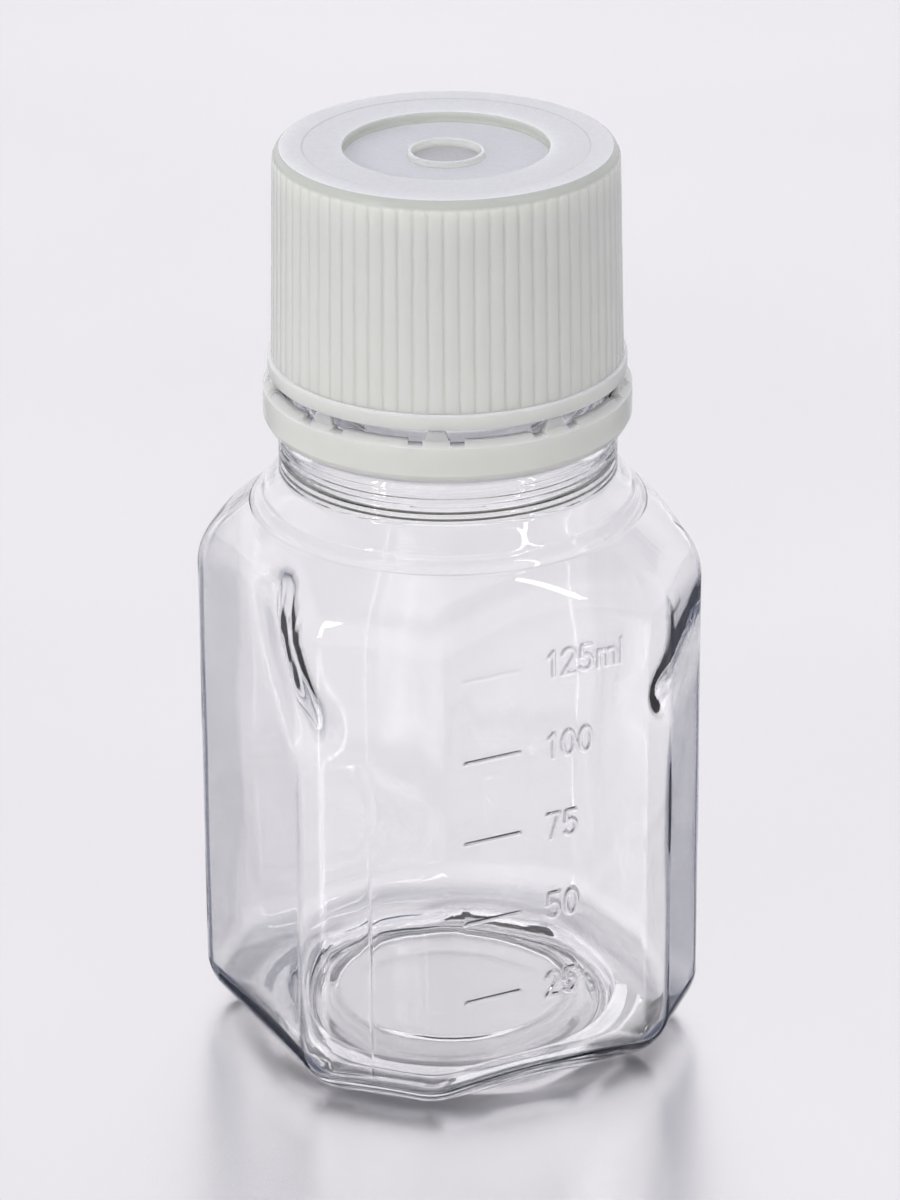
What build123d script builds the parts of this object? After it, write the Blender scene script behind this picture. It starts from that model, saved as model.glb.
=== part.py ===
from build123d import *

import math
import os

# A 125 ml octagonal laboratory bottle, blow-moulded in clear PET, with a ribbed screw cap and the
# tamper-evident band that the cap leaves on the neck.
# Frame: millimetres, +Z up, origin on the table under the middle of the bottle.
# The wide faces look along X and Y, the narrow ones along the diagonals.
# The graduated face looks along -Y.

# ---- Bottle body ----
BODY_WIDTH = 53.0  # across two opposite wide faces
FACE_WIDTH = 30.5  # a wide face, between the sharp corners it would have
CORNER_RADIUS = 6.2  # vertical corners
HEEL_RADIUS = 6.5  # where the sides turn under to the standing ring
WALL = 0.8  # blown wall
PUSH_UP_RADIUS = 17.7  # outer edge of the raised middle of the base
PANEL_RADIUS = 13.8  # its flat panel
PUSH_UP_HEIGHT = 1.9

# ---- Shoulder: a cone, two shallow rings and a steep collar up to the neck ----
SHOULDER_ANGLE = 40.0  # cone, degrees from the horizontal
SHOULDER_BLEND = 8.0  # rounding between the cone and the flat faces
LOWER_RING_RADIUS = 23.45
LOWER_RING_Z = 67.7
UPPER_RING_RADIUS = 22.05
RING_STEP = 0.6

# ---- Neck ----
NECK_FOOT_Z = 72.05
NECK_TOP_Z = 108.6
NECK_FOOT_RADIUS = 20.0  # thick ring under the band
NECK_FOOT_TOP_Z = 77.4
UNDERCUT_RADIUS = 18.2  # behind the band
LOCK_BEAD_RADIUS = 19.5  # keeps the band on the neck
LOCK_BEAD_Z = 81.0
LOCK_BEAD_HEIGHT = 1.2
THREAD_ROOT_RADIUS = 17.6
THREAD_CREST_RADIUS = 18.75
BORE_RADIUS = 15.8

# ---- Thread, right-handed, one start ----
THREAD_PITCH = 4.2
THREAD_TURNS = 2.25
THREAD_START_Z = 92.0
RIDGE_ROOT_WIDTH = 1.9
RIDGE_CREST_WIDTH = 1.0
THREAD_GAP = 0.3  # radial play between neck and cap
CAP_THREAD_DROP = 1.6  # cap ridge below the neck ridge at the same bearing

# ---- Screw cap ----
CAP_TOP_Z = 111.6
CAP_BOTTOM_Z = 84.4
CAP_ROOT_RADIUS_TOP = 20.0  # skirt between the ribs, at the top
CAP_ROOT_RADIUS_LOW = 20.5  # and just above the collar
CAP_CORNER_RADIUS = 1.3
RIB_COUNT = 72
RIB_HEIGHT = 0.35
RIB_WIDTH = 1.05
RIB_RUN_OUT = 2.0  # radius on which the ribs run out into the top corner
COLLAR_RADIUS = 21.1
COLLAR_TOP_Z = 86.25
CAP_BORE_RADIUS = THREAD_CREST_RADIUS + THREAD_GAP
CAP_CEILING_Z = 108.8
RECESS_RADIUS = 12.0
RECESS_DEPTH = 1.4
GATE_RING_RADIUS = 4.5
GATE_RING_WALL = 0.5
GATE_RING_HEIGHT = 0.75
PLUG_OUTER_RADIUS = 15.6
PLUG_WALL = 0.7
PLUG_LENGTH = 2.4

# ---- Tamper-evident band ----
BAND_RADIUS = 21.7
BAND_BOTTOM_Z = 78.3
BAND_SHOULDER_Z = 82.65
BAND_TOP_Z = 83.15
BAND_TOP_RADIUS = 20.9
BAND_BORE_RADIUS = 19.95
BAND_LIP_RADIUS = 19.0  # inner lip, caught under the neck's lock bead
BAND_LIP_Z = 79.0
BAND_LIP_HEIGHT = 1.2
TAB_COUNT = 9  # halves of the broken bridges, which stay on the band
TAB_TOP_WIDTH = 2.0
TAB_FOOT_WIDTH = 3.5
TAB_THICKNESS = 0.6
TAB_TOP_Z = 84.26
NOTCH_WIDTH = 1.7  # beside the foot of each tab
NOTCH_DEPTH = 0.5

# ---- Graduations, raised from the wide face that looks along -Y ----
TICK_COUNT = 5  # 25 ml to 125 ml in steps of 25
TICK_FIRST_Z = 15.05
TICK_SPACING = 10.36
TICK_LEFT_X = -11.4
TICK_RIGHT_X = -3.9
TICK_WIDTH = 0.5
TICK_HEIGHT = 0.3

SHOULDER_SLOPE = math.tan(math.radians(SHOULDER_ANGLE))
HALF_WIDTH = BODY_WIDTH / 2
HALF_FACE = FACE_WIDTH / 2


def revolve_profile(points):
    """Solid of revolution about Z from a closed outline of (radius, z) points."""
    outline = Polyline(*[(r, 0, z) for r, z in points], close=True)
    return revolve(make_face(outline), Axis.Z)


def octagon_points(inset):
    """Plan of the body with every face moved in by inset."""
    half = HALF_WIDTH - inset
    face = HALF_FACE - inset * math.tan(math.radians(22.5))
    return [
        (-face, -half), (face, -half), (half, -face), (half, face),
        (face, half), (-face, half), (-half, face), (-half, -face),
    ]


def blown_body(inset):
    """Octagonal body with its heel, corners and shoulder, every surface moved in by inset."""
    floor = inset
    tall = LOWER_RING_Z + 4
    plan = make_face(Polyline(*octagon_points(inset), close=True))
    body = Pos(0, 0, floor) * extrude(plan, tall - floor)
    body = fillet(body.edges().group_by(Axis.Z)[0], HEEL_RADIUS - inset)

    cone_top = LOWER_RING_Z - inset / math.cos(math.radians(SHOULDER_ANGLE))
    reach = 2 * HALF_WIDTH
    cone_low = cone_top - (reach - LOWER_RING_RADIUS) * SHOULDER_SLOPE
    cone = revolve_profile(
        [(0, floor - 1), (reach, floor - 1), (reach, cone_low), (LOWER_RING_RADIUS, cone_top), (0, cone_top)]
    )
    body = body & cone

    def is_corner(edge):
        upright = edge.geom_type == GeomType.LINE and abs(edge.tangent_at(0.5).Z) > 0.99
        mitre = edge.geom_type != GeomType.LINE and floor + 1 < edge.center().Z < HEEL_RADIUS
        return upright or mitre

    body = fillet([e for e in body.edges() if is_corner(e)], CORNER_RADIUS - inset)

    def is_shoulder(edge):
        box = edge.bounding_box()
        return edge.geom_type != GeomType.LINE and box.min.Z > 50 and box.max.Z < cone_top - 0.5

    return fillet([e for e in body.edges() if is_shoulder(e)], SHOULDER_BLEND - inset)


def base_push_up(lift, spread):
    """Raised middle of the base, as the solid under it; lift and spread offset it for the inside."""
    return revolve_profile([
        (0, lift - 1),
        (PUSH_UP_RADIUS + spread, lift - 1),
        (PUSH_UP_RADIUS + spread, lift),
        (PUSH_UP_RADIUS + spread - 1.2, lift + 0.8),
        (PANEL_RADIUS + spread + 1.0, lift + 1.1),
        (PANEL_RADIUS + spread, lift + PUSH_UP_HEIGHT),
        (0, lift + PUSH_UP_HEIGHT),
    ])


def helical_ridge(root_radius, crest_radius, start_z, turns):
    """One start of a trapezoidal thread ridge; its foot is sunk into the wall it stands on."""
    sunk = root_radius - math.copysign(0.3, crest_radius - root_radius)
    path = Pos(0, 0, start_z) * Helix(THREAD_PITCH, THREAD_PITCH * turns, root_radius)
    section = make_face(Polyline(
        (sunk, 0, start_z - RIDGE_ROOT_WIDTH / 2),
        (root_radius, 0, start_z - RIDGE_ROOT_WIDTH / 2),
        (crest_radius, 0, start_z - RIDGE_CREST_WIDTH / 2),
        (crest_radius, 0, start_z + RIDGE_CREST_WIDTH / 2),
        (root_radius, 0, start_z + RIDGE_ROOT_WIDTH / 2),
        (sunk, 0, start_z + RIDGE_ROOT_WIDTH / 2),
        close=True,
    ))
    return sweep(section, path, is_frenet=True)


def neck():
    """Outside of the neck and the two shoulder rings, solid down into the body."""
    upper_ring_z = LOWER_RING_Z + 2 * RING_STEP
    lock_z = LOCK_BEAD_Z
    return revolve_profile([
        (0, LOWER_RING_Z - 1),
        (LOWER_RING_RADIUS, LOWER_RING_Z - 0.01),
        (LOWER_RING_RADIUS, LOWER_RING_Z + RING_STEP),
        (UPPER_RING_RADIUS, upper_ring_z),
        (UPPER_RING_RADIUS, upper_ring_z + RING_STEP),
        (NECK_FOOT_RADIUS, NECK_FOOT_Z),
        (NECK_FOOT_RADIUS, NECK_FOOT_TOP_Z - 1.4),
        (NECK_FOOT_RADIUS - 0.3, NECK_FOOT_TOP_Z - 1.2),
        (NECK_FOOT_RADIUS - 0.1, NECK_FOOT_TOP_Z - 0.9),
        (NECK_FOOT_RADIUS - 0.1, NECK_FOOT_TOP_Z - 0.2),
        (NECK_FOOT_RADIUS - 0.3, NECK_FOOT_TOP_Z),
        (UNDERCUT_RADIUS, NECK_FOOT_TOP_Z + 0.3),
        (UNDERCUT_RADIUS, lock_z - 0.2),
        (LOCK_BEAD_RADIUS, lock_z),
        (LOCK_BEAD_RADIUS, lock_z + 0.4),
        (THREAD_ROOT_RADIUS, lock_z + LOCK_BEAD_HEIGHT + 0.8),
        (THREAD_ROOT_RADIUS, NECK_TOP_Z - 0.4),
        (THREAD_ROOT_RADIUS - 0.4, NECK_TOP_Z),
        (0, NECK_TOP_Z),
    ])


def neck_bore():
    """Inside of the neck and of the collar, which thins to the blown wall at the shoulder cone."""
    cone_inner_radius = LOWER_RING_RADIUS - WALL
    drop = WALL / math.cos(math.radians(SHOULDER_ANGLE))
    cone_inner_z = LOWER_RING_Z + WALL * SHOULDER_SLOPE - drop
    return revolve_profile([
        (0, cone_inner_z - 6),
        (cone_inner_radius - 4, cone_inner_z - 6),
        (cone_inner_radius, cone_inner_z),
        (UPPER_RING_RADIUS - 0.9, cone_inner_z + 1.1),
        (NECK_FOOT_RADIUS - 0.9, NECK_FOOT_Z - 0.9),
        (BORE_RADIUS + 0.6, NECK_FOOT_Z + 2.2),
        (BORE_RADIUS, NECK_FOOT_Z + 4.5),
        (BORE_RADIUS, NECK_TOP_Z + 1),
        (0, NECK_TOP_Z + 1),
    ])


def graduations():
    """Raised tick marks on the face that looks along -Y, with rounded ends."""
    length = TICK_RIGHT_X - TICK_LEFT_X
    middle = (TICK_LEFT_X + TICK_RIGHT_X) / 2
    ticks = []
    for step in range(TICK_COUNT):
        z = TICK_FIRST_Z + step * TICK_SPACING
        plane = Plane(origin=(middle, -HALF_WIDTH + 0.2, z), x_dir=(1, 0, 0), z_dir=(0, -1, 0))
        ticks.append(extrude(plane * SlotOverall(length, TICK_WIDTH), TICK_HEIGHT + 0.2))
    return ticks


def make_bottle():
    outside = blown_body(0) + neck()
    inside = blown_body(WALL) - base_push_up(WALL, WALL / 2) + neck_bore()
    bottle = outside - base_push_up(0, 0) - inside
    bottle += helical_ridge(THREAD_ROOT_RADIUS, THREAD_CREST_RADIUS, THREAD_START_Z, THREAD_TURNS)
    for tick in graduations():
        bottle += tick
    return bottle


def cap_shell():
    """Top plate, skirt, collar and plug seal of the cap, without ribs and thread."""
    recess_floor = CAP_TOP_Z - RECESS_DEPTH
    gate_inner = GATE_RING_RADIUS - GATE_RING_WALL
    plug_inner = PLUG_OUTER_RADIUS - PLUG_WALL
    corner = CAP_CORNER_RADIUS
    corner_points = [
        (CAP_ROOT_RADIUS_TOP - corner + corner * math.sin(a), CAP_TOP_Z - corner + corner * math.cos(a))
        for a in [math.radians(d) for d in (0, 22.5, 45, 67.5, 90)]
    ]
    return revolve_profile([
        (0, recess_floor),
        (gate_inner, recess_floor),
        (gate_inner, recess_floor + GATE_RING_HEIGHT),
        (GATE_RING_RADIUS, recess_floor + GATE_RING_HEIGHT),
        (GATE_RING_RADIUS, recess_floor),
        (RECESS_RADIUS, recess_floor),
        (RECESS_RADIUS, CAP_TOP_Z),
        *corner_points,
        (CAP_ROOT_RADIUS_LOW, COLLAR_TOP_Z + 0.3),
        (COLLAR_RADIUS, COLLAR_TOP_Z),
        (COLLAR_RADIUS, CAP_BOTTOM_Z + 0.2),
        (COLLAR_RADIUS - 0.2, CAP_BOTTOM_Z),
        (CAP_BORE_RADIUS + 0.3, CAP_BOTTOM_Z),
        (CAP_BORE_RADIUS, CAP_BOTTOM_Z + 0.8),
        (CAP_BORE_RADIUS, CAP_CEILING_Z - 1.2),
        (CAP_BORE_RADIUS - 0.8, CAP_CEILING_Z),
        (PLUG_OUTER_RADIUS, CAP_CEILING_Z),
        (PLUG_OUTER_RADIUS, CAP_CEILING_Z - PLUG_LENGTH + 0.6),
        (PLUG_OUTER_RADIUS - 0.4, CAP_CEILING_Z - PLUG_LENGTH),
        (plug_inner, CAP_CEILING_Z - PLUG_LENGTH),
        (plug_inner - 0.3, CAP_CEILING_Z),
        (0, CAP_CEILING_Z),
    ])


def cap_ribs():
    """Grip ribs: rounded bars that run out on the top corner and end above the collar."""
    low = COLLAR_TOP_Z
    crest_low = CAP_ROOT_RADIUS_LOW + RIB_HEIGHT
    crest_top = CAP_ROOT_RADIUS_TOP + RIB_HEIGHT
    run = RIB_RUN_OUT
    run_out = [
        (crest_top - run + run * math.sin(a), CAP_TOP_Z - run + run * math.cos(a))
        for a in [math.radians(d) for d in (90, 72, 54, 36, 18, 0)]
    ]
    inner = CAP_ROOT_RADIUS_TOP - 0.7
    envelope = revolve_profile([(inner, low), (crest_low, low), *run_out, (inner, CAP_TOP_Z)])
    bar = Pos(crest_low - RIB_HEIGHT - 0.45, 0, low) * extrude(
        SlotOverall(2 * RIB_HEIGHT + 2.2, RIB_WIDTH), CAP_TOP_Z - low
    )
    return [envelope & (Rotation(0, 0, i * 360 / RIB_COUNT) * bar) for i in range(RIB_COUNT)]


def make_cap():
    cap = cap_shell() + cap_ribs()
    start = THREAD_START_Z - CAP_THREAD_DROP
    return cap + helical_ridge(CAP_BORE_RADIUS, THREAD_ROOT_RADIUS + THREAD_GAP, start, THREAD_TURNS)


def make_band():
    """Band with its inner lip, the notches in its rim and the nine tabs of the broken bridges."""
    band = revolve_profile([
        (BAND_RADIUS - 0.4, BAND_BOTTOM_Z),
        (BAND_RADIUS, BAND_BOTTOM_Z + 0.8),
        (BAND_RADIUS, BAND_SHOULDER_Z - 0.2),
        (BAND_RADIUS - 0.2, BAND_SHOULDER_Z),
        (BAND_TOP_RADIUS, BAND_TOP_Z),
        (BAND_BORE_RADIUS + 0.15, BAND_TOP_Z),
        (BAND_BORE_RADIUS, BAND_TOP_Z - 0.3),
        (BAND_BORE_RADIUS, BAND_LIP_Z + BAND_LIP_HEIGHT + 0.5),
        (BAND_LIP_RADIUS, BAND_LIP_Z + BAND_LIP_HEIGHT),
        (BAND_LIP_RADIUS, BAND_LIP_Z),
        (BAND_BORE_RADIUS, BAND_BOTTOM_Z),
    ])
    pitch = 360 / TAB_COUNT
    middle_radius = BAND_TOP_RADIUS - TAB_THICKNESS / 2
    tab_foot_z = BAND_SHOULDER_Z - 0.3
    half_foot = TAB_FOOT_WIDTH / 2
    half_top = TAB_TOP_WIDTH / 2
    side = Plane(origin=(middle_radius - TAB_THICKNESS / 2, 0, 0), x_dir=(0, 1, 0), z_dir=(1, 0, 0))
    tab = extrude(
        side * make_face(Polyline(
            (-half_foot, tab_foot_z), (half_foot, tab_foot_z), (half_top, TAB_TOP_Z), (-half_top, TAB_TOP_Z),
            close=True,
        )),
        TAB_THICKNESS,
    )
    notch_offset = (TAB_FOOT_WIDTH + NOTCH_WIDTH) / 2 - 0.2
    notch = Pos(BAND_RADIUS, 0, BAND_TOP_Z) * Box(6, NOTCH_WIDTH, 2 * NOTCH_DEPTH)
    for i in range(TAB_COUNT):
        turn = Rotation(0, 0, i * pitch)
        band -= turn * (Pos(0, -notch_offset, 0) * notch)
        band -= turn * (Pos(0, notch_offset, 0) * notch)
        band += turn * tab
    return band


def main():
    os.makedirs("parts", exist_ok=True)
    pieces = {"bottle": make_bottle(), "screw_cap": make_cap(), "tamper_band": make_band()}
    for name, piece in pieces.items():
        export_step(piece, f"parts/{name}.step")


main()
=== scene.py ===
import bpy
import bmesh
import math

import numpy as np
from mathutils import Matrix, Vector
from mathutils.geometry import delaunay_2d_cdt


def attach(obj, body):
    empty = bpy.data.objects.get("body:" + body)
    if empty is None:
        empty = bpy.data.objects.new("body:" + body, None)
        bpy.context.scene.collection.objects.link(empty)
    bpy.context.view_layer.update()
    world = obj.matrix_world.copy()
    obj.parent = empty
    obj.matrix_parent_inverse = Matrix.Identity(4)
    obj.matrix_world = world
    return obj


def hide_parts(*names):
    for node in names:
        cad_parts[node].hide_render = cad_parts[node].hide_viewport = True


# A 125 ml octagonal laboratory bottle in clear PET with its natural HDPE screw cap and
# tamper-evident band.
# Lengths below are millimetres, turned into metres where a mesh is made.
# Frame: +Z up, origin on the floor under the middle of the bottle, graduated face towards -Y.

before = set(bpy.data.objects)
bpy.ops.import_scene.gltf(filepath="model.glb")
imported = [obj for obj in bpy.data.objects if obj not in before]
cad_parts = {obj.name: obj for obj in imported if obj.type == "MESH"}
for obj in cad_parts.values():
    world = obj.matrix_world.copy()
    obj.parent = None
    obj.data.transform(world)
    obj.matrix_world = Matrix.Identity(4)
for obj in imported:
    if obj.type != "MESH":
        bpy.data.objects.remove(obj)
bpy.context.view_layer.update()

MM = 0.001

# ---- Bottle body ----
HALF_WIDTH = 26.5
HALF_FACE = 15.25
CORNER_RADIUS = 6.2
HEEL_RADIUS = 6.5
WALL = 0.8
BASE_THICKNESS = 1.3
HEEL_EXTRA = 1.8  # most that the wall is thicker round the heel
HEEL_END = 0.72  # share of the heel's rows over which it is thicker
HEEL_ROWS = 30
HEEL_TOP_Z = 6.6
HEEL_CENTRE_Z = 12.0  # the heel's rows are cast from here on the axis
SHOULDER_ROWS = 40
PUSH_UP_RADIUS = 17.7
PANEL_RADIUS = 13.8
PUSH_UP_HEIGHT = 1.9
SHOULDER_ANGLE = math.radians(40)
SHOULDER_BLEND = 8.0
RING_RADIUS = 23.45
RING_Z = 67.7
UPPER_RING_RADIUS = 22.05
NECK_FOOT_Z = 72.05
NECK_TOP_Z = 108.6
NECK_FOOT_RADIUS = 20.0
NECK_FOOT_TOP_Z = 77.4
UNDERCUT_RADIUS = 18.2
LOCK_RADIUS = 19.5
LOCK_Z = 81.0
THREAD_ROOT = 17.6
THREAD_HEIGHT = 1.15
THREAD_PITCH = 4.2
THREAD_TURNS = 2.25
THREAD_START_Z = 92.0
RIDGE_FOOT = 0.95  # half width of the thread ridge at its foot
RIDGE_FLANK = 0.45
RIDGE_RUN_OUT = 0.04  # turns
BORE_RADIUS = 15.8
TICK_FIRST_Z = 15.05
TICK_SPACING = 10.36
PANEL_LOW_Z = 10.0  # flat part of the graduated face
PANEL_HIGH_Z = 58.6
PANEL_HALF_WIDTH = 12.69
PART_LINE = 225  # degrees, where the two halves of the mould meet, and again 180 degrees on
PART_LINE_HEIGHT = 0.05
NECK_LINE_HEIGHT = 0.04
OUTER_WAVES = 0.012
INNER_WAVES = 0.07

# Thick streaks on the inside of two upper corners.
STREAKS = (
    ((-26, -6.5, 63), (-26, -9.0, 57), (-26, -14.5, 49.5)),
    ((24.6, -17.0, 53), (16.5, -25.4, 49)),
)
STREAK_HEIGHT = 1.2
STREAK_WIDTH = 2.8


# ---------------------------------------------------------------- bottle shape

def octagon_distance(x, y):
    """Signed distance from the rounded octagonal plan, and there the cosine of its normal to the radius."""
    ax, ay = np.abs(x), np.abs(y)
    lo, hi = np.minimum(ax, ay), np.maximum(ax, ay)
    half = HALF_WIDTH - CORNER_RADIUS
    narrow = (HALF_WIDTH + HALF_FACE) / math.sqrt(2) - CORNER_RADIUS
    corner_lo = narrow * math.sqrt(2) - half
    wide_gap = hi - half
    narrow_gap = (lo + hi) / math.sqrt(2) - narrow
    dx, dy = lo - corner_lo, hi - half
    in_corner = (dx > 0) & (dy > dx)
    distance = np.where(in_corner, np.hypot(dx, dy), np.maximum(wide_gap, narrow_gap))
    length = np.maximum(np.hypot(dx, dy), 1e-9)
    flat_wide = wide_gap > narrow_gap
    nx = np.where(in_corner, dx / length, np.where(flat_wide, 0, math.sqrt(0.5)))
    ny = np.where(in_corner, dy / length, np.where(flat_wide, 1, math.sqrt(0.5)))
    radius = np.maximum(np.hypot(lo, hi), 1e-9)
    return distance - CORNER_RADIUS, (nx * lo + ny * hi) / radius


def rounded_meet(a, b, cosine, radius):
    """Two surfaces meeting in a rounding of this radius, as a signed distance."""
    u, v = a + radius, b + radius
    sine = np.sqrt(1 - cosine * cosine)
    on_round = (u > v * cosine) & (v > u * cosine)
    arc = np.sqrt(np.maximum(u * u + v * v - 2 * u * v * cosine, 0)) / sine - radius
    return np.where(on_round, arc, np.maximum(a, b))


def body_distance(x, y, z):
    """Signed distance from the body's outside, up to the shoulder ring."""
    side, facing = octagon_distance(x, y)
    radius = np.hypot(x, y)
    cone_z = RING_Z - (radius - RING_RADIUS) * math.tan(SHOULDER_ANGLE)
    cone = (z - cone_z) * math.cos(SHOULDER_ANGLE)
    shoulder = rounded_meet(side, cone, math.sin(SHOULDER_ANGLE) * facing, SHOULDER_BLEND)
    heel = rounded_meet(side, -z, np.zeros_like(z), HEEL_RADIUS)
    return np.where(z < 30, heel, shoulder)


def bearings():
    """Directions of the columns of the grid, closer at the corners, the part line and the streaks."""
    corner_start, corner_end = 25.57, 34.66
    eighth = np.concatenate([
        np.linspace(0, corner_start, 8)[:-1],
        np.linspace(corner_start, corner_end, 13)[:-1],
        np.linspace(corner_end, 45, 5),
    ])
    quarter = np.concatenate([eighth, 90 - eighth[::-1][1:]])[:-1]
    near = np.array([-0.5, -0.3, -0.15, 0.15, 0.3, 0.5])
    all_round = np.concatenate([quarter + 90 * k for k in range(4)])
    streaks = [np.arange(192.4, 205.2, 2.13), np.arange(305.9, 325, 2.15)]
    all_round = np.concatenate([all_round, PART_LINE + near, PART_LINE - 180 + near, *streaks])
    return np.radians(np.unique(np.round(all_round, 5)))


THETA = bearings()
COS, SIN = np.cos(THETA), np.sin(THETA)


def circle_rows(profile):
    """Rows of points on circles, one for each (radius, z)."""
    return [np.stack([r * COS, r * SIN, np.full_like(COS, z)], 1) for r, z in profile]


def cast_rows(origin_z, elevations, levels):
    """Rows where rays from a point on the axis meet the body moved in by one level a row."""
    rows = []
    for elevation, level in zip(elevations, levels):
        c, s = math.cos(elevation), math.sin(elevation)
        near, far = np.zeros_like(COS), np.full_like(COS, 60.0)
        for _ in range(44):  # halvings, down to the last digit
            mid = (near + far) / 2
            outside = body_distance(mid * c * COS, mid * c * SIN, origin_z + mid * s) > -level
            far = np.where(outside, mid, far)
            near = np.where(outside, near, mid)
        t = (near + far) / 2
        rows.append(np.stack([t * c * COS, t * c * SIN, origin_z + t * s], 1))
    return rows


def rounded_line(points, radius, steps=3):
    """Polyline of (r, z) points with every inner corner rounded."""
    points = [np.array(p, float) for p in points]
    line = [points[0]]
    for before, here, after in zip(points, points[1:], points[2:]):
        a, b = before - here, after - here
        la, lb = np.linalg.norm(a), np.linalg.norm(b)
        cut = min(radius, 0.45 * la, 0.45 * lb)
        start, end = here + a / la * cut, here + b / lb * cut
        for k in range(steps + 1):
            t = k / steps
            line.append((1 - t) ** 2 * start + 2 * t * (1 - t) * here + t * t * end)
    line.append(points[-1])
    return [(p[0], p[1]) for p in line]


def body_rows(level, base_level=0.0, heel_extra=0.0):
    """Wall from the flat of the base up to just under the shoulder ring, moved in by level.

    It starts base_level in from the foot, and goes heel_extra further in round the heel."""
    foot = PUSH_UP_RADIUS + base_level / 2
    low_angle = -math.atan((HEEL_CENTRE_Z - base_level) / foot)
    heel_top = -math.atan((HEEL_CENTRE_Z - HEEL_TOP_Z) / HALF_WIDTH)
    share = np.linspace(0, 1, HEEL_ROWS)[1:]
    thick = np.sin(math.pi * np.minimum(share / HEEL_END, 1)) ** 2
    levels = base_level + (level - base_level) * share + heel_extra * thick
    rows = cast_rows(HEEL_CENTRE_Z, low_angle + (heel_top - low_angle) * share, levels)
    for z in [8.0, *np.linspace(PANEL_LOW_Z, 44.0, 8), *np.linspace(45.3, PANEL_HIGH_Z, 11)]:
        rows += cast_rows(z, [0.0], [level])
    top_r = RING_RADIUS - level
    top_z = RING_Z + level * math.tan(SHOULDER_ANGLE) - level / math.cos(SHOULDER_ANGLE)
    top_angle = math.atan((top_z - PANEL_HIGH_Z) / top_r)
    angles = np.linspace(0, top_angle, SHOULDER_ROWS)[1:-1]
    return rows + cast_rows(PANEL_HIGH_Z, angles, np.full_like(angles, level))


def thread_lift(z):
    """Height of the thread ridge over the neck wall for each column at height z."""
    lift = np.zeros_like(THETA)
    for turn in range(4):
        along = THETA / (2 * math.pi) + turn
        middle = THREAD_START_Z + THREAD_PITCH * along
        ridge = np.clip((RIDGE_FOOT - np.abs(z - middle)) / RIDGE_FLANK, 0, 1)
        ridge = ridge * ridge * (3 - 2 * ridge)
        ends = np.clip(along / RIDGE_RUN_OUT, 0, 1) * np.clip((THREAD_TURNS - along) / RIDGE_RUN_OUT, 0, 1)
        lift = np.maximum(lift, ridge * ends)
    return THREAD_HEIGHT * lift


def flat_panel_columns():
    """1 for the columns that run over the flat of the graduated face, else 0."""
    on_face = (SIN < 0) & (np.abs(COS / SIN) * HALF_WIDTH < PANEL_HALF_WIDTH)
    return on_face.astype(float)


def part_line_lift():
    """Share of the low ridge left where the mould closes, for each column."""
    lift = np.zeros_like(THETA)
    for bearing in (PART_LINE, PART_LINE - 180):
        off = (np.degrees(THETA) - bearing + 180) % 360 - 180
        lift += np.exp(-(off / 0.22) ** 2)
    return lift


def waves(rows, size, rng, count=9):
    """Slow unevenness of the blown wall: how far each point moves out."""
    points = np.array(rows)
    total = np.zeros(points.shape[:2])
    for _ in range(count):
        direction = rng.normal(size=3)
        direction *= rng.uniform(0.12, 0.5) / np.linalg.norm(direction)
        total += np.sin(points @ direction + rng.uniform(0, 2 * math.pi))
    return size * total / math.sqrt(count)


def streak_height(rows):
    """How far the thick streaks stand in from the wall at each point."""
    points = np.array(rows)
    best = np.full(points.shape[:2], 99.0)
    for line in STREAKS:
        for start, end in zip(line, line[1:]):
            start, along = np.array(start), np.array(end, float) - start
            share = np.clip((points - start) @ along / (along @ along), 0, 1)
            best = np.minimum(best, np.linalg.norm(points - start - share[..., None] * along, axis=2))
    return STREAK_HEIGHT * np.exp(-(best / STREAK_WIDTH) ** 2)


def push_out(rows, amount):
    """Moves rows along the horizontal outward direction; amount has one value a point."""
    out = []
    for row, move in zip(rows, amount):
        radius = np.maximum(np.hypot(row[:, 0], row[:, 1]), 1e-9)
        scale = 1 + move / radius
        out.append(np.stack([row[:, 0] * scale, row[:, 1] * scale, row[:, 2]], 1))
    return out


def base_profile(level):
    """Raised middle of the base from the axis out to the standing ring."""
    edge = level / 2
    line = rounded_line([
        (0.6, level + PUSH_UP_HEIGHT),
        (PANEL_RADIUS + edge, level + PUSH_UP_HEIGHT),
        (PANEL_RADIUS + edge + 1.0, level + 1.1),
        (PUSH_UP_RADIUS + edge - 1.2, level + 0.8),
        (PUSH_UP_RADIUS + edge, level),
        (PUSH_UP_RADIUS + edge + 0.6, level),
    ], 0.5)[:-1]
    panel = [(r, level + PUSH_UP_HEIGHT) for r in (0.6, 2, 3.5, 5, 7, 9, 11, 12.5)]
    return panel + line[1:]


def shoulder_rings():
    """Two soft steps at the top of the shoulder."""
    step = 0.6
    line = np.array([
        (RING_RADIUS, RING_Z - 0.02),
        (RING_RADIUS, RING_Z + step),
        (UPPER_RING_RADIUS, RING_Z + 2 * step),
        (UPPER_RING_RADIUS, RING_Z + 3 * step),
        ((UPPER_RING_RADIUS + NECK_FOOT_RADIUS) / 2, (RING_Z + 3 * step + NECK_FOOT_Z) / 2),
    ])
    for _ in range(3):
        early, late = 0.75 * line[:-1] + 0.25 * line[1:], 0.25 * line[:-1] + 0.75 * line[1:]
        line = np.concatenate([line[:1], np.stack([early, late], 1).reshape(-1, 2), line[-1:]])
    share = (line[:, :1] - line[0, 0]) / (line[-1, 0] - line[0, 0])
    straight = line[0] + (line[-1] - line[0]) * share
    ease = np.clip(share / 0.4, 0, 1)
    return [tuple(p) for p in straight + (line - straight) * 0.5 * ease * ease * (3 - 2 * ease)]


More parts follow.
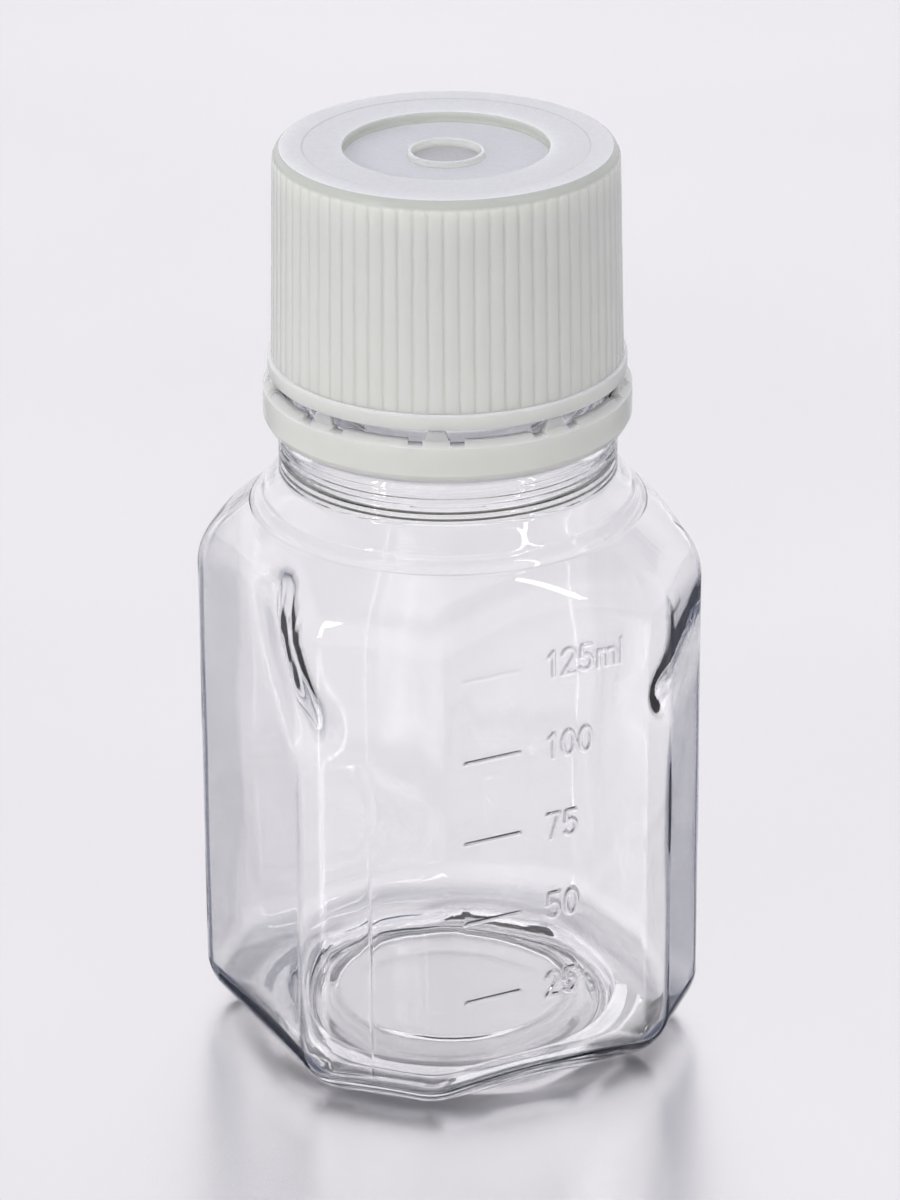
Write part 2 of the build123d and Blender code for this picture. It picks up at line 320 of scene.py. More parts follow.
def neck_beads():
    """Fine steps round the foot of the neck, from the shoulder up."""
    line = []
    for z, depth in ((72.7, 0.12), (73.5, 0.22), (74.6, 0.07), (75.3, 0.2), (76.3, 0.12)):
        line += [
            (NECK_FOOT_RADIUS, z - 0.2),
            (NECK_FOOT_RADIUS - depth, z),
            (NECK_FOOT_RADIUS - depth, z + 0.12),
            (NECK_FOOT_RADIUS, z + 0.35),
        ]
    return line


def bottle_rows():
    """Rows of the bottle: outside from the base up to the lip, then inside down to the base again."""
    rng = np.random.default_rng(7)
    outer_base = circle_rows(base_profile(0))
    outer_wall = body_rows(0)
    rings = shoulder_rings()
    neck_line = rings[:-1] + rounded_line([
        rings[-1],
        (NECK_FOOT_RADIUS, NECK_FOOT_Z),
        *neck_beads(),
        (NECK_FOOT_RADIUS - 0.3, NECK_FOOT_TOP_Z),
        (UNDERCUT_RADIUS, NECK_FOOT_TOP_Z + 0.3),
        (UNDERCUT_RADIUS, LOCK_Z - 0.2),
        (LOCK_RADIUS, LOCK_Z),
        (LOCK_RADIUS, LOCK_Z + 0.4),
        (THREAD_ROOT, LOCK_Z + 2.0),
        (THREAD_ROOT, THREAD_START_Z - 1.5),
    ], 0.3, 2)
    outer_neck = circle_rows(neck_line)
    thread_z = np.arange(THREAD_START_Z - 1.3, THREAD_START_Z + THREAD_PITCH * THREAD_TURNS + 1.4, 0.32)
    thread = circle_rows([(THREAD_ROOT, z) for z in thread_z])
    thread = push_out(thread, [thread_lift(z) for z in thread_z])
    lip = rounded_line([
        (THREAD_ROOT, 103.5),
        (THREAD_ROOT, NECK_TOP_Z),
        (BORE_RADIUS, NECK_TOP_Z),
        (BORE_RADIUS, NECK_FOOT_Z + 4.5),
        (BORE_RADIUS + 0.6, NECK_FOOT_Z + 2.2),
        (NECK_FOOT_RADIUS - 0.9, NECK_FOOT_Z - 0.9),
        (UPPER_RING_RADIUS - 0.9, 68.43),
        (RING_RADIUS - WALL, 67.33),
        (RING_RADIUS - WALL + 0.3, 67.0),
    ], 0.5)[:-2]
    bore = circle_rows(lip)
    inner_wall = body_rows(WALL, BASE_THICKNESS, HEEL_EXTRA)[::-1]
    inner_base = circle_rows(base_profile(BASE_THICKNESS)[::-1])

    line = part_line_lift()
    free = 1 - flat_panel_columns()
    uneven = (waves(outer_wall, OUTER_WAVES, rng) - OUTER_WAVES) * free
    outer_wall = push_out(outer_wall, uneven + PART_LINE_HEIGHT * line)
    outer_neck = push_out(outer_neck, [NECK_LINE_HEIGHT * line] * len(outer_neck))
    inner_wall = push_out(inner_wall, waves(inner_wall, INNER_WAVES, rng) - streak_height(inner_wall))
    outside = outer_base + outer_wall + outer_neck + thread
    return outside + bore + inner_wall + inner_base, len(outer_base)


def grid_faces(rows, low_z, high_z):
    """Closed surface from rows of points, with a point on the axis at each end.

    The number of points may change from one row to the next by a whole factor."""
    starts = np.cumsum([0] + [len(row) for row in rows]).tolist()
    points = np.concatenate(rows + [np.array([[0, 0, low_z], [0, 0, high_z]])]).tolist()
    faces = []
    for i in range(len(rows) - 1):
        here, there = len(rows[i]), len(rows[i + 1])
        coarse = min(here, there)
        a, b = here // coarse, there // coarse
        for j in range(coarse):
            lower = [starts[i] + (j * a + k) % here for k in range(a + 1)]
            upper = [starts[i + 1] + (j * b + k) % there for k in range(b + 1)]
            faces.append(tuple(lower + upper[::-1]))
    for pole, row in ((starts[-1], 0), (starts[-1] + 1, len(rows) - 1)):
        count = len(rows[row])
        for j in range(count):
            faces.append((pole, starts[row] + j, starts[row] + (j + 1) % count))
    return points, faces


def mesh_object(name, points, faces, sharp_angle):
    """Smooth-shaded object from points in millimetres, with edges over the angle kept sharp."""
    mesh = bpy.data.meshes.new(name)
    mesh.from_pydata([(x * MM, y * MM, z * MM) for x, y, z in points], [], faces)
    bm = bmesh.new()
    bm.from_mesh(mesh)
    bmesh.ops.delete(bm, geom=[v for v in bm.verts if not v.link_faces], context="VERTS")
    bmesh.ops.recalc_face_normals(bm, faces=bm.faces)
    for face in bm.faces:
        face.smooth = True
    open_edges = sum(not e.is_manifold for e in bm.edges)
    bm.to_mesh(mesh)
    bm.free()
    print(name, "vertices", len(mesh.vertices), "open edges", open_edges)
    mesh.set_sharp_from_angle(angle=math.radians(sharp_angle))
    obj = bpy.data.objects.new(name, mesh)
    bpy.context.scene.collection.objects.link(obj)
    return obj


def arc(cx, cy, rx, ry, start, end, count=12):
    """Points along part of an ellipse."""
    return [
        (cx + rx * math.cos(a), cy + ry * math.sin(a))
        for a in np.radians(np.linspace(start, end, count))
    ]


# Single-stroke figures, 3.1 mm tall between the middles of their strokes, and the step to the next.
FIGURES = {
    "0": ([arc(0.75, 1.55, 0.75, 1.55, 90, 450, 28)], 2.25),
    "1": ([[(0.2, 2.5), (0.75, 3.1), (0.75, 0)]], 1.95),
    "2": ([arc(0.75, 2.35, 0.75, 0.75, 170, -30) + [(0, 0), (1.5, 0)]], 2.25),
    "5": ([[(1.4, 3.1), (0.25, 3.1), (0.12, 1.7)] + arc(0.7, 1.0, 0.8, 0.97, 135, -140, 16)], 2.4),
    "7": ([[(0, 3.1), (1.5, 3.1), (0.55, 0)]], 2.25),
    "m": ([
        [(0, 0), (0, 2.1)],
        [(0, 1.5)] + arc(0.56, 1.54, 0.56, 0.56, 180, 0) + [(1.12, 0)],
        [(1.12, 1.5)] + arc(1.68, 1.54, 0.56, 0.56, 180, 0) + [(2.24, 0)],
    ], 3.0),
    "l": ([[(0, 3.1), (0, 0)]], 0.5),
}
MARK_HEIGHT = 0.295
STROKE_OUT = 0.33  # half width of a stroke at its foot
STROKE_IN = 0.14  # and of its crest
TICK_START_X, TICK_END_X = -11.15, -4.15
FIGURE_START_X = -0.5
TOP_TICK_SHARE = 0.45  # the top mark is moulded faintest
NUMERAL_GAIN = 0.35  # its numeral stands out more than its tick
MARK_MARGIN = 0.45  # plain face kept round each mark in its own grid
MARK_PITCH = 0.13


def mark_strokes(label, z):
    """Strokes of a numeral whose middle is level with its tick."""
    strokes, x = [], FIGURE_START_X
    for figure in label:
        lines, advance = FIGURES[figure]
        strokes += [[(x + px, z - 1.55 + py) for px, py in line] for line in lines]
        x += advance
    return strokes


def stroke_distance(x, z, strokes):
    """Distance from each point to the nearest stroke."""
    best = np.full(x.shape, 9.0)
    for line in strokes:
        for (ax, az), (bx, bz) in zip(line, line[1:]):
            dx, dz = bx - ax, bz - az
            along = np.clip(((x - ax) * dx + (z - az) * dz) / (dx * dx + dz * dz), 0, 1)
            best = np.minimum(best, np.hypot(x - ax - along * dx, z - az - along * dz))
    return best


def marks():
    """(strokes, share of the full height) for the ticks and numerals."""
    for step, label in enumerate(["25", "50", "75", "100", "125ml"]):
        z = TICK_FIRST_Z + step * TICK_SPACING
        share = TOP_TICK_SHARE if label.endswith("ml") else 1.0
        yield [[(TICK_START_X, z), (TICK_END_X, z)]], share
        yield mark_strokes(label, z), min(1.0, share + NUMERAL_GAIN)


def add_marks(points, faces, first_wall_row, rows):
    """Opens the flat of the graduated face and closes it again with raised ticks and numerals."""
    count = len(THETA)
    columns = np.nonzero(flat_panel_columns())[0]
    left, right = columns[0], columns[-1]
    level = [
        i for i in range(first_wall_row, first_wall_row + HEEL_ROWS + 30)
        if PANEL_LOW_Z - 0.01 < rows[i][left, 2] < PANEL_HIGH_Z + 0.01
    ]
    low, high = level[0], level[-1]

    def in_panel(face):
        row, column = divmod(face[0], count)
        return len(face) == 4 and low <= row < high and left <= column < right and row < len(rows)

    kept = [face for face in faces if not in_panel(face)]
    loop = [low * count + j for j in range(left, right)]
    loop += [i * count + right for i in range(low, high)]
    loop += [high * count + j for j in range(right, left, -1)]
    loop += [i * count + left for i in range(high, low, -1)]
    ids = list(loop)
    flat = [(points[i][0], points[i][2]) for i in loop]
    edges = [(k, (k + 1) % len(loop)) for k in range(len(loop))]
    boxes = []
    points = list(map(tuple, points))
    for strokes, share in marks():
        xs = [p[0] for line in strokes for p in line]
        zs = [p[1] for line in strokes for p in line]
        x0, x1 = min(xs) - MARK_MARGIN, max(xs) + MARK_MARGIN
        z0, z1 = min(zs) - MARK_MARGIN, max(zs) + MARK_MARGIN
        nx, nz = math.ceil((x1 - x0) / MARK_PITCH) + 1, math.ceil((z1 - z0) / MARK_PITCH) + 1
        gx, gz = np.meshgrid(np.linspace(x0, x1, nx), np.linspace(z0, z1, nz), indexing="ij")
        beyond = STROKE_OUT - stroke_distance(gx, gz, strokes)
        rise = np.clip(beyond / (STROKE_OUT - STROKE_IN), 0, 1)
        rise = rise * rise * (3 - 2 * rise) * MARK_HEIGHT * share
        first = len(points)
        for i in range(nx):
            for j in range(nz):
                points.append((gx[i, j], -HALF_WIDTH - rise[i, j], gz[i, j]))
        for i in range(nx - 1):
            for j in range(nz - 1):
                a = first + i * nz + j
                kept.append((a, a + nz, a + nz + 1, a + 1))
        ring = [first + i * nz for i in range(nx - 1)]
        ring += [first + (nx - 1) * nz + j for j in range(nz - 1)]
        ring += [first + i * nz + nz - 1 for i in range(nx - 1, 0, -1)]
        ring += [first + j for j in range(nz - 1, 0, -1)]
        start = len(flat)
        ids += ring
        flat += [(points[i][0], points[i][2]) for i in ring]
        edges += [(start + k, start + (k + 1) % len(ring)) for k in range(len(ring))]
        boxes.append((x0, x1, z0, z1))
    result = delaunay_2d_cdt([Vector(p) for p in flat], edges, [], 0, 1e-6)
    out_verts, out_faces, originals = result[0], result[2], result[3]
    back = [ids[o[0]] for o in originals]
    for face in out_faces:
        cx = sum(out_verts[k][0] for k in face) / 3
        cz = sum(out_verts[k][1] for k in face) / 3
        if not any(x0 < cx < x1 and z0 < cz < z1 for x0, x1, z0, z1 in boxes):
            kept.append(tuple(back[k] for k in face))
    return points, kept


# ---------------------------------------------------------------- cap shape

CAP_TOP_Z = 111.6
CAP_BOTTOM_Z = 84.4
CAP_TOP_RADIUS = 20.0
CAP_LOW_RADIUS = 20.5
COLLAR_RADIUS = 21.1
COLLAR_TOP_Z = 86.25
RIBS = 72
RIB_HEIGHT = 0.17
RIB_HALF_WIDTH = 0.8
RIB_TOP_Z = 110.7
RECESS_RADIUS = 12.0
RECESS_DEPTH = 1.4
GATE_RADIUS = 4.0
GATE_DEPTH = 0.3  # below the recess
INSIDE_TOP_Z = 108.8
TOP_COLUMNS = 216
INSIDE_COLUMNS = 144


def ring_row(r, z, count):
    """One circle of evenly spaced points."""
    angles = np.arange(count) * 2 * math.pi / count - math.pi / RIBS
    return np.stack([r * np.cos(angles), r * np.sin(angles), np.full(count, z)], 1)


def cap_rows():
    """Rows of the cap from the middle of its top over the ribbed skirt and back up inside."""
    half = [0.14, 0.28, 0.375, 0.415, 0.455]
    phases = np.array([-0.5, *[-p for p in half[::-1]], 0, *half])
    theta = np.radians(np.concatenate([(i + phases) * 360 / RIBS for i in range(RIBS)]))
    pitch = 2 * math.pi * CAP_LOW_RADIUS / RIBS
    across = np.tile(np.abs(phases * pitch) / RIB_HALF_WIDTH, RIBS)

    floor_z = CAP_TOP_Z - RECESS_DEPTH
    top = rounded_line([
        (0.3, floor_z - GATE_DEPTH),
        (GATE_RADIUS, floor_z - GATE_DEPTH),
        (GATE_RADIUS, floor_z + 0.75),
        (GATE_RADIUS + 0.5, floor_z + 0.75),
        (GATE_RADIUS + 0.5, floor_z),
        (RECESS_RADIUS, floor_z),
        (RECESS_RADIUS, CAP_TOP_Z - 0.1),
        (16.5, CAP_TOP_Z - 0.1),
        (16.8, CAP_TOP_Z),
        (18.9, CAP_TOP_Z),
    ], 0.18)
    rows = [ring_row(r, z, TOP_COLUMNS) for r, z in top]

    corner, edge = 1.5, math.radians(35)
    straight = CAP_TOP_Z - corner * math.cos(edge)
    low_z = COLLAR_TOP_Z + 0.12
    edge_r = CAP_TOP_RADIUS - corner + corner * math.sin(edge)
    shape = [(edge_r - 0.12, CAP_TOP_Z, 0.0), (edge_r - 0.03, CAP_TOP_Z - 0.012, edge / 2)]
    shape += [
        (CAP_TOP_RADIUS - corner + corner * math.sin(a), straight + corner * math.cos(a), a)
        for a in [*np.linspace(edge + 0.06, 1.0, 4), *np.linspace(1.06, math.pi / 2, 11)]
    ]
    for z in [*np.linspace(straight - 0.08, straight - 0.6, 6), *np.linspace(straight - 2, low_z, 9)]:
        t = (straight - z) / (straight - low_z)
        shape.append((CAP_TOP_RADIUS + t * (CAP_LOW_RADIUS - CAP_TOP_RADIUS), z, math.pi / 2))
    for r, z, angle in shape:
        above = max(z - (RIB_TOP_Z - RIB_HALF_WIDTH), 0) / RIB_HALF_WIDTH
        off = np.hypot(across, above)
        rib = np.sqrt(np.maximum(1 - off ** 3, 0))
        lift = RIB_HEIGHT * rib
        radius = r + lift * math.sin(angle)
        height = z + lift * math.cos(angle)
        rows.append(np.stack([radius * np.cos(theta), radius * np.sin(theta), height], 1))
    collar = rounded_line([
        (CAP_LOW_RADIUS, COLLAR_TOP_Z + 0.1),
        (CAP_LOW_RADIUS, COLLAR_TOP_Z),
        (COLLAR_RADIUS, COLLAR_TOP_Z),
        (COLLAR_RADIUS, CAP_BOTTOM_Z),
        (20.2, CAP_BOTTOM_Z),
    ], 0.2)
    for r, z in collar:
        rows.append(np.stack([r * np.cos(theta), r * np.sin(theta), np.full_like(theta, z)], 1))
    inside = rounded_line([
        (20.1, CAP_BOTTOM_Z),
        (19.35, CAP_BOTTOM_Z),
        (19.05, CAP_BOTTOM_Z + 0.8),
        (19.05, 107.6),
        (18.25, INSIDE_TOP_Z),
        (15.6, INSIDE_TOP_Z),
        (15.6, 107.0),
        (15.2, 106.4),
        (14.9, 106.4),
        (14.6, INSIDE_TOP_Z),
        (0.3, INSIDE_TOP_Z),
    ], 0.15, 2)
    return rows + [ring_row(r, z, INSIDE_COLUMNS) for r, z in inside]


# ---------------------------------------------------------------- materials

PET_IOR = 1.57
HDPE_IOR = 1.54
TOP_NORMALS = (0.93, 0.985)  # height of a normal from which a face counts as a top
RIM_HEIGHTS = (0.1104, 0.1108)  # metres, where the rim round the top of the cap is painted darker as shade
GATE_EDGE = (0.0039, 0.0040)  # metres from the axis, inside which the gate is painted darker as shade
# Metres from the axis, inside which the top of the cap is painted lighter as painted light.
RECESS_EDGE = (0.0119, 0.0121)


def new_material(name):
    """Material with an empty Principled shader, its node tree, the shader and the output."""
    mat = bpy.data.materials.new(name)
    mat.use_nodes = True
    nodes = mat.node_tree.nodes
    nodes.clear()
    output = nodes.new("ShaderNodeOutputMaterial")
    shader = nodes.new("ShaderNodeBsdfPrincipled")
    mat.node_tree.links.new(shader.outputs["BSDF"], output.inputs["Surface"])
    return mat, mat.node_tree, shader, output


def noise(tree, scale, detail=3.0, roughness=0.5):
    """Noise from 0 to 1 in the object's own coordinates, in metres."""
    coords = tree.nodes.new("ShaderNodeTexCoord")
    texture = tree.nodes.new("ShaderNodeTexNoise")
    texture.inputs["Scale"].default_value = scale
    texture.inputs["Detail"].default_value = detail
    texture.inputs["Roughness"].default_value = roughness
    tree.links.new(coords.outputs["Object"], texture.inputs["Vector"])
    return texture.outputs["Fac"]


def grey(value):
    return (value, value, value)


def ramp(tree, fac, low, high, low_at=0.3, high_at=0.7):
    """Colour that goes from low to high as fac goes from low_at to high_at."""
    node = tree.nodes.new("ShaderNodeValToRGB")
    node.color_ramp.elements[0].position = low_at
    node.color_ramp.elements[0].color = (*low, 1)
    node.color_ramp.elements[1].position = high_at
    node.color_ramp.elements[1].color = (*high, 1)
    tree.links.new(fac, node.inputs["Fac"])
    return node.outputs["Color"]


def share_between(tree, value, low, high):
    """0 up to the low value, 1 from the high one on, and even in between."""
    share = tree.nodes.new("ShaderNodeMapRange")
    share.inputs["From Min"].default_value = low
    share.inputs["From Max"].default_value = high
    tree.links.new(value, share.inputs["Value"])
    return share.outputs["Result"]


def bump(tree, shader, height, strength, distance):
    """Gives the shader a bump from a height; the distance is in metres."""
    node = tree.nodes.new("ShaderNodeBump")
    node.inputs["Strength"].default_value = strength
    node.inputs["Distance"].default_value = distance
    tree.links.new(height, node.inputs["Height"])
    tree.links.new(node.outputs["Normal"], shader.inputs["Normal"])
    return node


def clear_pet():
    """Clear plastic with a slight blue cast in its depth, which lets light through to the floor."""
    mat, tree, shader, output = new_material("clear_pet")
    links = tree.links
    tint = ramp(tree, noise(tree, 60), (0.972, 0.968, 0.968), (0.988, 0.985, 0.986))
    links.new(tint, shader.inputs["Base Color"])
    rough = ramp(tree, noise(tree, 120, 1.0), grey(0.0), grey(0.012))
    links.new(rough, shader.inputs["Roughness"])
    shader.inputs["Transmission Weight"].default_value = 1.0
    shader.inputs["IOR"].default_value = PET_IOR
    bump(tree, shader, noise(tree, 160, 2.0), 0.05, 0.0003)
    path = tree.nodes.new("ShaderNodeLightPath")
    clear = tree.nodes.new("ShaderNodeBsdfTransparent")
    clear.inputs["Color"].default_value = (0.93, 0.93, 0.94, 1)
    mix = tree.nodes.new("ShaderNodeMixShader")
    links.new(path.outputs["Is Shadow Ray"], mix.inputs["Fac"])
    links.new(shader.outputs["BSDF"], mix.inputs[1])
    links.new(clear.outputs["BSDF"], mix.inputs[2])
    links.new(mix.outputs["Shader"], output.inputs["Surface"])
    depth = tree.nodes.new("ShaderNodeVolumeAbsorption")
    depth.inputs["Color"].default_value = (0.50, 0.52, 0.60, 1)
    depth.inputs["Density"].default_value = 17.0
    links.new(depth.outputs["Volume"], output.inputs["Volume"])
    return mat


def normal_z(tree):
    """How far the face looks up: the height of its normal."""
    geometry = tree.nodes.new("ShaderNodeNewGeometry")
    split = tree.nodes.new("ShaderNodeSeparateXYZ")
    tree.links.new(geometry.outputs["True Normal"], split.inputs["Vector"])
    return split.outputs["Z"]


def mask_of_tops(tree):
    """1 on faces that look straight up, where the moulding is matt and grainy and its colour is painted
    lighter as sheen, else 0.
    """
    return ramp(tree, normal_z(tree), grey(0), grey(1), *TOP_NORMALS)


def blend_colour(tree, fac, low, high):
    """The low colour where fac is 0 and the high one where it is 1."""
    mix = tree.nodes.new("ShaderNodeMix")
    mix.data_type = "RGBA"
    tree.links.new(fac, mix.inputs["Factor"])
    sockets = [socket for socket in mix.inputs if socket.type == "RGBA"]
    tree.links.new(low, sockets[0])
    tree.links.new(high, sockets[1])
    return [socket for socket in mix.outputs if socket.type == "RGBA"][0]


def height_share(tree, low_z, high_z):
    """0 below low_z and 1 above high_z, in metres."""
    coords = tree.nodes.new("ShaderNodeTexCoord")
    split = tree.nodes.new("ShaderNodeSeparateXYZ")
    tree.links.new(coords.outputs["Object"], split.inputs["Vector"])
    return share_between(tree, split.outputs["Z"], low_z, high_z)


def radius_share(tree, inner, outer):
    """0 nearer the axis than the inner distance and 1 beyond the outer one, in metres."""
    coords = tree.nodes.new("ShaderNodeTexCoord")
    flat = tree.nodes.new("ShaderNodeVectorMath")
    flat.operation = "MULTIPLY"
    flat.inputs[1].default_value = (1, 1, 0)
    tree.links.new(coords.outputs["Object"], flat.inputs[0])
    length = tree.nodes.new("ShaderNodeVectorMath")
    length.operation = "LENGTH"
    tree.links.new(flat.outputs["Vector"], length.inputs[0])
    return share_between(tree, length.outputs["Value"], inner, outer)


def natural_hdpe():
    """Milky satin plastic, matt where it looks up, with painted light and shade: tops painted lighter as
    sheen, the recess lighter still, the gate darker, and a darker rim round the top of the cap.
    """
    mat, tree, shader, _ = new_material("natural_hdpe")
    links = tree.links
    tops = mask_of_tops(tree)
    side = ramp(tree, noise(tree, 120, 2.0), (0.62, 0.625, 0.58), (0.64, 0.645, 0.60))
    # Painted shade: the rim round the top of the cap gets a darker colour.
    rim = (0.47, 0.48, 0.44)
    thick = ramp(tree, noise(tree, 120, 2.0), rim, [c * 1.03 for c in rim])
    side = blend_colour(tree, height_share(tree, *RIM_HEIGHTS), side, thick)
    fine = noise(tree, 1800, 5.0, 0.7)
    # Painted sheen: up-facing faces get a lighter colour than the sides, standing in for the light they
    # catch.
    top_with_painted_light = ramp(tree, fine, (0.80, 0.785, 0.78), (0.89, 0.875, 0.87))
    # Painted light: the floor of the recess gets a lighter colour than the rest of the top.
    recess = ramp(tree, fine, (0.91, 0.90, 0.90), (0.99, 0.98, 0.98))
    # Painted shade: inside the gate ring the colour is painted darker.
    gate = ramp(tree, fine, (0.60, 0.59, 0.59), (0.68, 0.67, 0.67))
    recess = blend_colour(tree, radius_share(tree, *GATE_EDGE), gate, recess)
    top_with_painted_light = blend_colour(tree, radius_share(tree, *RECESS_EDGE), recess, top_with_painted_light)
    links.new(blend_colour(tree, tops, side, top_with_painted_light), shader.inputs["Base Color"])
    satin = ramp(tree, noise(tree, 45, 1.0), grey(0.21), grey(0.27))
    rough = ramp(tree, noise(tree, 900, 2.0), grey(0.36), grey(0.46))
    links.new(blend_colour(tree, tops, satin, rough), shader.inputs["Roughness"])
    shader.inputs["IOR"].default_value = HDPE_IOR
    shader.inputs["Subsurface Weight"].default_value = 1.0
    shader.inputs["Subsurface Radius"].default_value = (1.0, 1.0, 0.9)
    shader.inputs["Subsurface Scale"].default_value = 0.004
    grain = bump(tree, shader, noise(tree, 1700, 3.0), 0.0, 0.0002)
    links.new(ramp(tree, normal_z(tree), grey(0), grey(0.35), *TOP_NORMALS), grain.inputs["Strength"])
    return mat


def floor_material():
    """Pale glossy metal, a little cloudy."""
    mat, tree, shader, _ = new_material("pale_floor")
    colour = ramp(tree, noise(tree, 9, 1.0), (0.79, 0.78, 0.785), (0.82, 0.81, 0.815))
    tree.links.new(colour, shader.inputs["Base Color"])
    shader.inputs["Roughness"].default_value = 0.27
    shader.inputs["Metallic"].default_value = 0.93
    return mat


def dress(obj, mat):
    """Makes this the object's only material."""
    obj.data.materials.clear()
    obj.data.materials.append(mat)


# ---------------------------------------------------------------- pieces

pet = clear_pet()
hdpe = natural_hdpe()

rows, first_wall_row = bottle_rows()
points, faces = grid_faces(rows, PUSH_UP_HEIGHT, BASE_THICKNESS + PUSH_UP_HEIGHT)
points, faces = add_marks(points, faces, first_wall_row, rows)
bottle = mesh_object("clear_bottle", points, faces, 60)
dress(bottle, pet)
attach(bottle, "bottle")
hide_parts("bottle")

gate_z = CAP_TOP_Z - RECESS_DEPTH - GATE_DEPTH
cap = mesh_object("ribbed_cap", *grid_faces(cap_rows(), gate_z, INSIDE_TOP_Z), 50)
dress(cap, hdpe)
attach(cap, "cap")
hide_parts("screw_cap")

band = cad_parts["tamper_band"]
for slot in band.material_slots:
    slot.material = hdpe

# ---------------------------------------------------------------- floor, light, camera

CAMERA_BEARING = -26.36  # degrees round from straight in front of the graduated face
CAMERA_DISTANCE = 0.6003  # metres from the axis
CAMERA_HEIGHT = 0.3181
CAMERA_ROLL = -0.35  # degrees
CAMERA_LENS = 164.73
LOOK_AT_Z = 0.05424
LOOK_AT_RIGHT = 0.00013
FLOOR_HALF = 1.6

floor_mesh = bpy.data.meshes.new("floor")
corners = ((-1, -1), (1, -1), (1, 1), (-1, 1))
floor_mesh.from_pydata([(x * FLOOR_HALF, y * FLOOR_HALF, 0) for x, y in corners], [], [(0, 1, 2, 3)])
floor = bpy.data.objects.new("floor", floor_mesh)
bpy.context.scene.collection.objects.link(floor)
dress(floor, floor_material())

world = bpy.data.worlds.new("room")
bpy.context.scene.world = world
world.use_nodes = True
background = world.node_tree.nodes["Background"]
tree = world.node_tree
direction = tree.nodes.new("ShaderNodeTexCoord").outputs["Generated"]


def towards(bearing_off, elevation):
    """Unit vector: degrees to the right of the camera's side, and above the floor."""
    bearing = math.radians(270 + CAMERA_BEARING + bearing_off)
    flat = math.cos(math.radians(elevation))
    return (flat * math.cos(bearing), flat * math.sin(bearing), math.sin(math.radians(elevation)))


def share_towards(axis, low_at, high_at):
    """0 to 1 as the direction turns towards an axis; the limits are cosines."""
    dot = tree.nodes.new("ShaderNodeVectorMath")
    dot.operation = "DOT_PRODUCT"
    dot.inputs[1].default_value = axis
    tree.links.new(direction, dot.inputs[0])
    return share_between(tree, dot.outputs["Value"], low_at, high_at)


def combine(operation, first, second):
    """Result of one maths operation on two values."""
    node = tree.nodes.new("ShaderNodeMath")
    node.operation = operation
    tree.links.new(first, node.inputs[0])
    tree.links.new(second, node.inputs[1])
    return node.outputs["Value"]


def with_number(operation, value, number):
    """Result of one maths operation on a value and a plain number."""
    node = tree.nodes.new("ShaderNodeMath")
    node.operation = operation
    node.inputs[1].default_value = number
    tree.links.new(value, node.inputs[0])
    return node.outputs["Value"]


def about(value, count):
    """1 where the value is this whole number, else 0."""
    over = with_number("GREATER_THAN", value, count - 0.5)
    return combine("MULTIPLY", over, with_number("LESS_THAN", value, count + 0.5))


# A room that is pale low down, in front and overhead, with a pale patch behind the bottle that the
# floor mirrors into view. The rest of it, high up and behind, is dark blue.
UP, DOWN = (0, 0, 1), (0, 0, -1)
DARK_WALL = (0.022, 0.045, 0.13)
PALE_WALL = (1.05, 1.04, 1.075)
MIRRORED = towards(180, 28)

pale = share_towards(DOWN, -0.37, -0.29)
low_down = share_towards(DOWN, -0.70, -0.50)
front = combine("MULTIPLY", share_towards(towards(0, 0), -0.64, -0.46), low_down)
back = share_towards(MIRRORED, 0.925, 0.955)
overhead = share_towards(UP, 0.90, 0.95)
for part in (front, back, overhead):
    pale = combine("MAXIMUM", pale, part)

# Mirrored once by the floor, the room is even. Seen straight through the clear walls it is even too,
# but for a half dark part round the patch behind the bottle. That is through 4 surfaces of the body,
# or 8 by way of the base. Whatever else is seen through the bottle shows the room as it is above.
EVEN_LEVEL = 0.86
BEHIND_LEVEL = 0.45

path = tree.nodes.new("ShaderNodeLightPath")
surfaces = path.outputs["Transmission Depth"]
once = with_number("LESS_THAN", path.outputs["Glossy Depth"], 1.5)
once = combine("MULTIPLY", once, path.outputs["Is Glossy Ray"])
behind = share_towards(MIRRORED, 0.80, 0.88)
level = with_number("ADD", with_number("MULTIPLY", behind, BEHIND_LEVEL - EVEN_LEVEL), EVEN_LEVEL)
clear_view = combine("MULTIPLY", combine("MAXIMUM", about(surfaces, 4), about(surfaces, 8)), level)
floor_view = with_number("MULTIPLY", with_number("LESS_THAN", surfaces, 0.5), EVEN_LEVEL)
mirrored = combine("MULTIPLY", combine("MAXIMUM", clear_view, floor_view), once)
pale = combine("MAXIMUM", pale, mirrored)
tree.links.new(ramp(tree, pale, DARK_WALL, PALE_WALL, 0.0, 1.0), background.inputs["Color"])


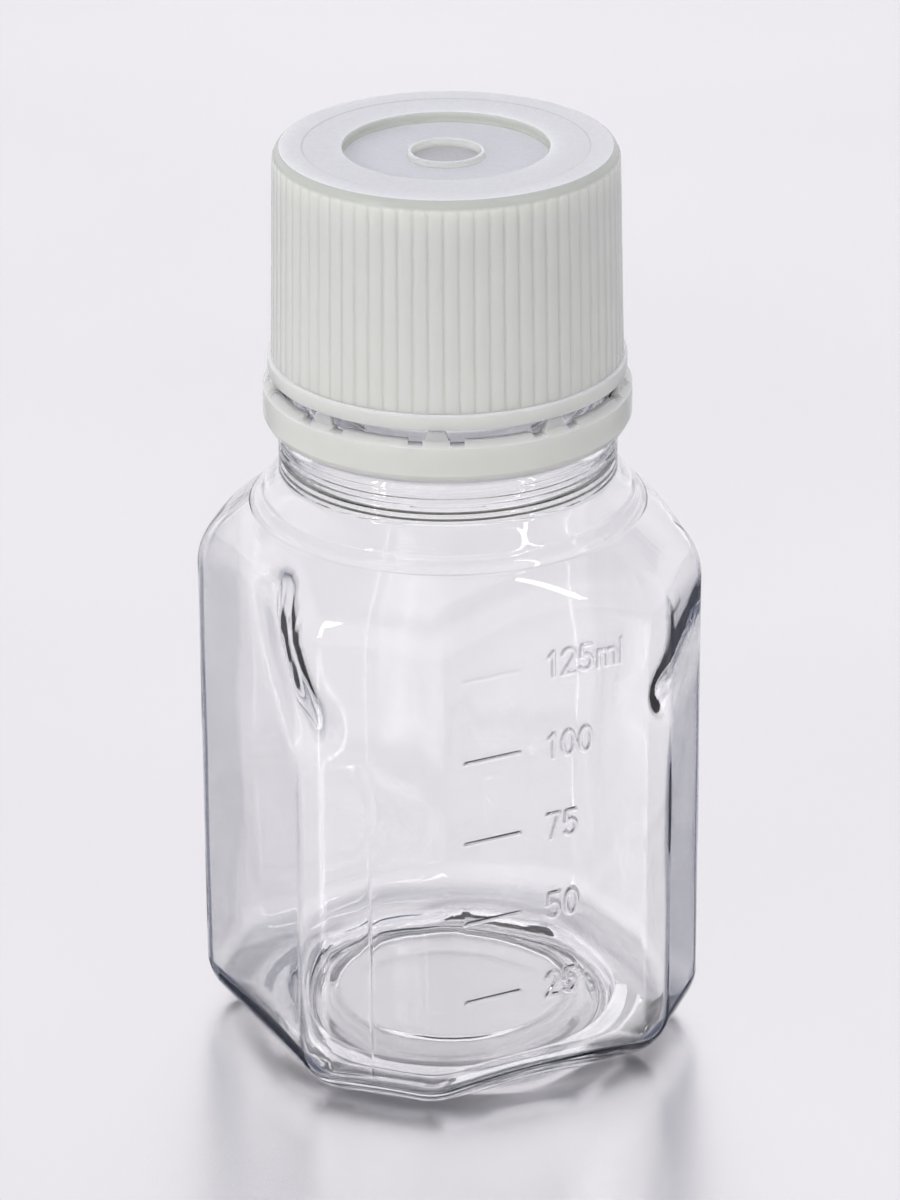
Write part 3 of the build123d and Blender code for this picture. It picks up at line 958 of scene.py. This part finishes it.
def aim(obj, target):
    """Turns a light or camera to look at a point, level with the floor."""
    ahead = np.array(target) - np.array(obj.location)
    tilt = math.pi / 2 + math.atan2(ahead[2], math.hypot(ahead[0], ahead[1]))
    obj.rotation_euler = (tilt, 0, math.atan2(-ahead[0], ahead[1]))


def panel_at(name, bearing_off, elevation, width, height, power):
    """Soft light 1 m from the object in the given direction."""
    light = bpy.data.lights.new(name, "AREA")
    light.shape = "RECTANGLE"
    light.size = width
    light.size_y = height
    light.energy = power
    obj = bpy.data.objects.new(name, light)
    obj.location = towards(bearing_off, elevation)
    aim(obj, (0, 0, 0.05))
    bpy.context.scene.collection.objects.link(obj)
    return obj


panel_at("left_window", -50, 24, 0.04, 0.42, 0.7)
panel_at("right_strip", 58, 38, 0.04, 0.9, 0.8)
# These light the cap, band and floor, and don't show in reflections or through the bottle.
for name, bearing_off, elevation, power in (
    ("front_fill", -38, 28, 3.6),
    ("top_fill", 0, 80, 0.3),
    ("back_fill", 190, 40, 0.5),
):
    fill = panel_at(name, bearing_off, elevation, 0.7, 0.7, power)
    fill.visible_glossy = False
    fill.visible_transmission = False


camera_data = bpy.data.cameras.new("camera")
camera = bpy.data.objects.new("camera", camera_data)
bpy.context.scene.collection.objects.link(camera)
bpy.context.scene.camera = camera
camera_data.sensor_width = 36
camera_data.lens = CAMERA_LENS
camera_data.clip_start = 0.01
camera_data.clip_end = 20
bearing = math.radians(CAMERA_BEARING)
camera.location = (math.sin(bearing) * CAMERA_DISTANCE, -math.cos(bearing) * CAMERA_DISTANCE, CAMERA_HEIGHT)
aim(camera, (math.cos(bearing) * LOOK_AT_RIGHT, math.sin(bearing) * LOOK_AT_RIGHT, LOOK_AT_Z))
camera.rotation_euler.rotate_axis("Z", math.radians(CAMERA_ROLL))

scene = bpy.context.scene
scene.view_settings.view_transform = "Standard"
scene.cycles.max_bounces = 10
scene.cycles.diffuse_bounces = 3
scene.cycles.glossy_bounces = 4
scene.cycles.transmission_bounces = 10
scene.cycles.adaptive_threshold = 0.1
